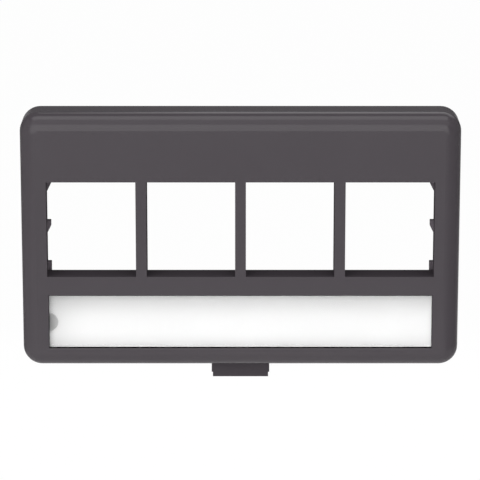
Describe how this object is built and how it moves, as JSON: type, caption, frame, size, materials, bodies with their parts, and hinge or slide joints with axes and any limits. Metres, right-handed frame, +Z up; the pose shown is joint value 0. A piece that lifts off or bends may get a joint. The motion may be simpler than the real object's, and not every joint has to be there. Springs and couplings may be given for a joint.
{
  "type": "keystone faceplate",
  "caption": "Keystone faceplate for a furniture panel cut-out: round-edged frame with a row of jack windows, a label pocket under a clear cover, and a release tab.",
  "frame": {"origin": "centre of the panel cut-out, in the plane of the panel's front, which the rear of the rim sits on", "axes": "+X to the right as the user sees the plate, +Y back through the panel, +Z up"},
  "size_m": [0.0734, 0.0109, 0.0465],
  "materials": {
    "body_plastic": "fine satin moulding, dark warm grey",
    "card_paper": "smooth white card",
    "cover_clear": "clear, polished, with a frosted scoop"
  },
  "bodies": {
    "plate": {"faceplate_body": "body_plastic", "label_card": "card_paper"},
    "cover": {"label_cover": "cover_clear"}
  },
  "joints": [
    {"name": "cover_pull", "type": "slide", "parent": "plate", "child": "cover", "axis": [0, -1, 0], "range_m": [0, 0.008]}
  ]
}
